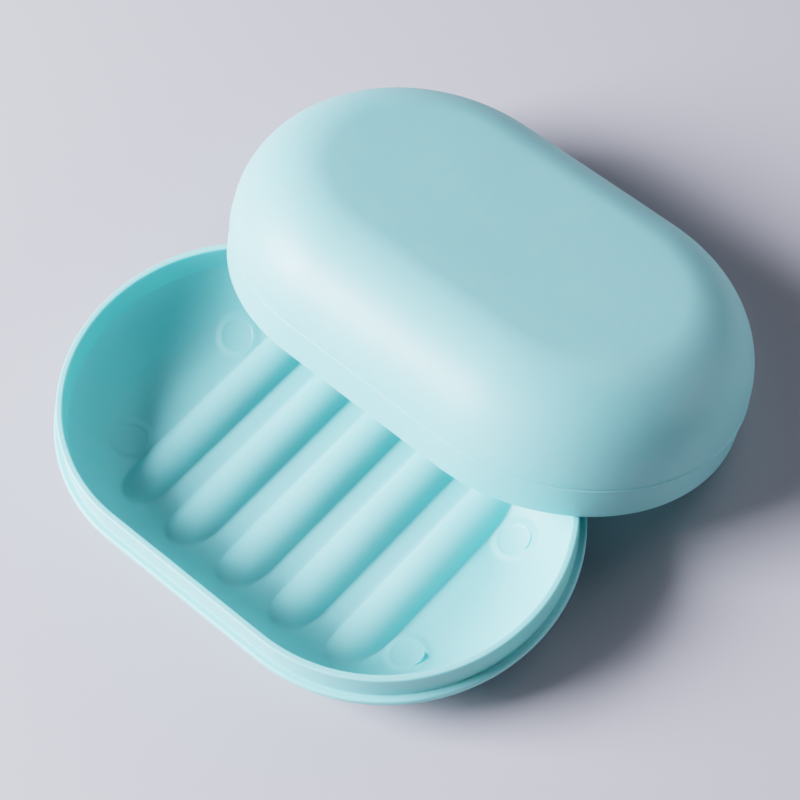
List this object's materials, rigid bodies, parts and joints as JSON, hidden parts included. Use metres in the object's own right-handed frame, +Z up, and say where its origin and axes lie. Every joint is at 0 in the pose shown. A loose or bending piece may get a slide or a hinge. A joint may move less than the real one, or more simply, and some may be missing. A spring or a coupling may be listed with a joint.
{
  "type": "travel soap box",
  "caption": "Moulded plastic travel soap box: stadium-shaped tray with a ribbed bowl floor and a standing lip, and a domed lid that seats over the lip, shown off and leaning on the tray.",
  "frame": {"origin": "centre of the tray's flat underside, on the surface that the box stands on", "axes": "+X along the tray's length, +Y across the tray towards the side where the lid leans, +Z up"},
  "size_m": [0.1173, 0.1235, 0.0425],
  "materials": {
    "tray_plastic": "fine matte moulded mint polypropylene",
    "lid_plastic": "fine matte moulded mint polypropylene"
  },
  "bodies": {
    "tray": {"base_tray": "tray_plastic"},
    "lid": {"lid": "lid_plastic"}
  },
  "joints": [
    {"name": "lid_lift", "type": "slide", "parent": "tray", "child": "lid", "axis": [0, 0, 1], "range_m": [0, 0.08]}
  ]
}
